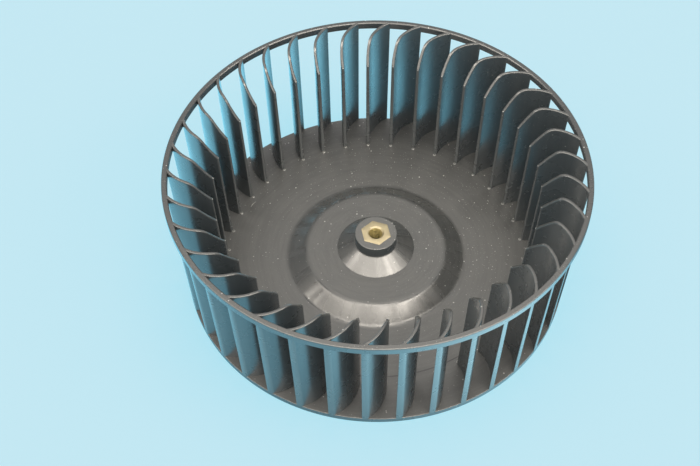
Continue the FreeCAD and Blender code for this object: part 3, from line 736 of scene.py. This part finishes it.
# Soft boxes, each by the azimuth and elevation of the two ends of its middle line as seen from the
# wheel, how broad it is, in degrees too, and how bright its face is in reflections and as light
softBoxes = [
    {"name": "left_far", "ends": ((178, 35), (222, 49)), "breadth": 20, "glow": 5.4, "light": 2.0},
    {"name": "left_near", "ends": ((222, 49), (252.3, 54)), "breadth": 20, "glow": 5.1, "light": 2.0},
    {"name": "right_near", "ends": ((255.7, 54), (313, 51)), "breadth": 20, "glow": 4.5, "light": 2.0},
    {"name": "right_far", "ends": ((313, 51), (362, 37)), "breadth": 20, "glow": 5.4, "light": 2.0},
    {"name": "right_edge", "ends": ((280, 47), (345, 45)), "breadth": 8, "glow": 6.0, "light": 0.0},
    {"name": "overhead", "ends": ((228, 70), (312, 70)), "breadth": 8, "glow": 8.0, "light": 0.0},
    {"name": "low_left", "ends": ((205, 25), (268, 25)), "breadth": 22, "glow": 1.6, "light": 0.2},
    {"name": "low_right", "ends": ((272, 25), (335, 25)), "breadth": 22, "glow": 1.6, "light": 0.2},
    {"name": "ceiling", "ends": ((180, 68), (0, 68)), "breadth": 40, "glow": 0.8, "light": 1.6},
    {"name": "far_wall", "ends": ((40, 54), (140, 54)), "breadth": 20, "glow": 0.75, "light": 0.4},
]
softBoxDistance = 1800.0
softBoxColour = "#fff6e9"


def direction(azimuth, elevation):
    azimuth, elevation = math.radians(azimuth), math.radians(elevation)
    level = math.cos(elevation)
    return Vector((math.cos(azimuth) * level, math.sin(azimuth) * level, math.sin(elevation)))


def addSoftBoxes():
    # Each box is two lamps in one place: one that shows in reflections, and one that lights
    distance = softBoxDistance / 1000
    for box in softBoxes:
        first, last = [direction(*end) for end in box["ends"]]
        back = (first + last).normalized()
        along = (last - first).normalized()
        turn = Matrix((along, back.cross(along), back)).transposed().to_4x4()
        for use in ("glow", "light"):
            if box[use] == 0:
                continue
            light = bpy.data.lights.new(f"{box['name']}_{use}", "AREA")
            light.shape = "RECTANGLE"
            light.size = 2 * distance * math.tan(first.angle(last) / 2)
            light.size_y = 2 * distance * math.tan(math.radians(box["breadth"]) / 2)
            light.color = linear(softBoxColour)[:3]
            light.energy = 4 * box[use] * light.size * light.size_y  # makes its face as bright as stated
            lamp = bpy.data.objects.new(light.name, light)
            bpy.context.scene.collection.objects.link(lamp)
            lamp.matrix_world = Matrix.Translation(back * distance) @ turn
            lamp.visible_glossy = use == "glow"
            lamp.visible_diffuse = use == "light"


def addWorld():
    # The camera sees the card's colour past its edge. Everything else sees dim, even air
    world = bpy.data.worlds.new("studio_air")
    world.use_nodes = True
    tree = world.node_tree
    tree.nodes.clear()
    path = addNode(tree, "ShaderNodeLightPath")
    air = addNode(tree, "ShaderNodeBackground", {
        "Color": linear(studio["airColour"]), "Strength": studio["airStrength"]})
    card = addNode(tree, "ShaderNodeBackground", {"Color": linear(studio["cardColour"])})
    both = addNode(tree, "ShaderNodeMixShader", (path.outputs["Is Camera Ray"], air, card))
    addNode(tree, "ShaderNodeOutputWorld", {"Surface": both})
    bpy.context.scene.world = world


# Camera, set by the photograph: place in millimetres, angles in radians
camera = {"place": (0.0, -386.68, 520.02), "yaw": -0.035, "pitch": 0.911, "roll": -0.010,
          "focalPixels": 1209.616, "imageWidth": 700, "sensor": 36.0}


def addCamera():
    yaw, pitch, roll = camera["yaw"], camera["pitch"], camera["roll"]
    ahead = Vector((math.sin(yaw) * math.cos(pitch), math.cos(yaw) * math.cos(pitch), -math.sin(pitch)))
    level = Vector((math.cos(yaw), -math.sin(yaw), 0))
    upright = level.cross(ahead)
    right = math.cos(roll) * level + math.sin(roll) * upright
    up = math.cos(roll) * upright - math.sin(roll) * level
    lens = bpy.data.cameras.new("camera")
    lens.sensor_fit = "HORIZONTAL"
    lens.sensor_width = camera["sensor"]
    lens.lens = camera["focalPixels"] * camera["sensor"] / camera["imageWidth"]
    lens.clip_start = 0.01
    view = bpy.data.objects.new("camera", lens)
    bpy.context.scene.collection.objects.link(view)
    turn = Matrix((right, up, -ahead)).transposed().to_4x4()
    view.matrix_world = Matrix.Translation(Vector(camera["place"]) / 1000) @ turn
    bpy.context.scene.camera = view


addFloor()
addSoftBoxes()
addWorld()
addCamera()
bpy.context.scene.view_settings.view_transform = "Standard"
print("studio set")
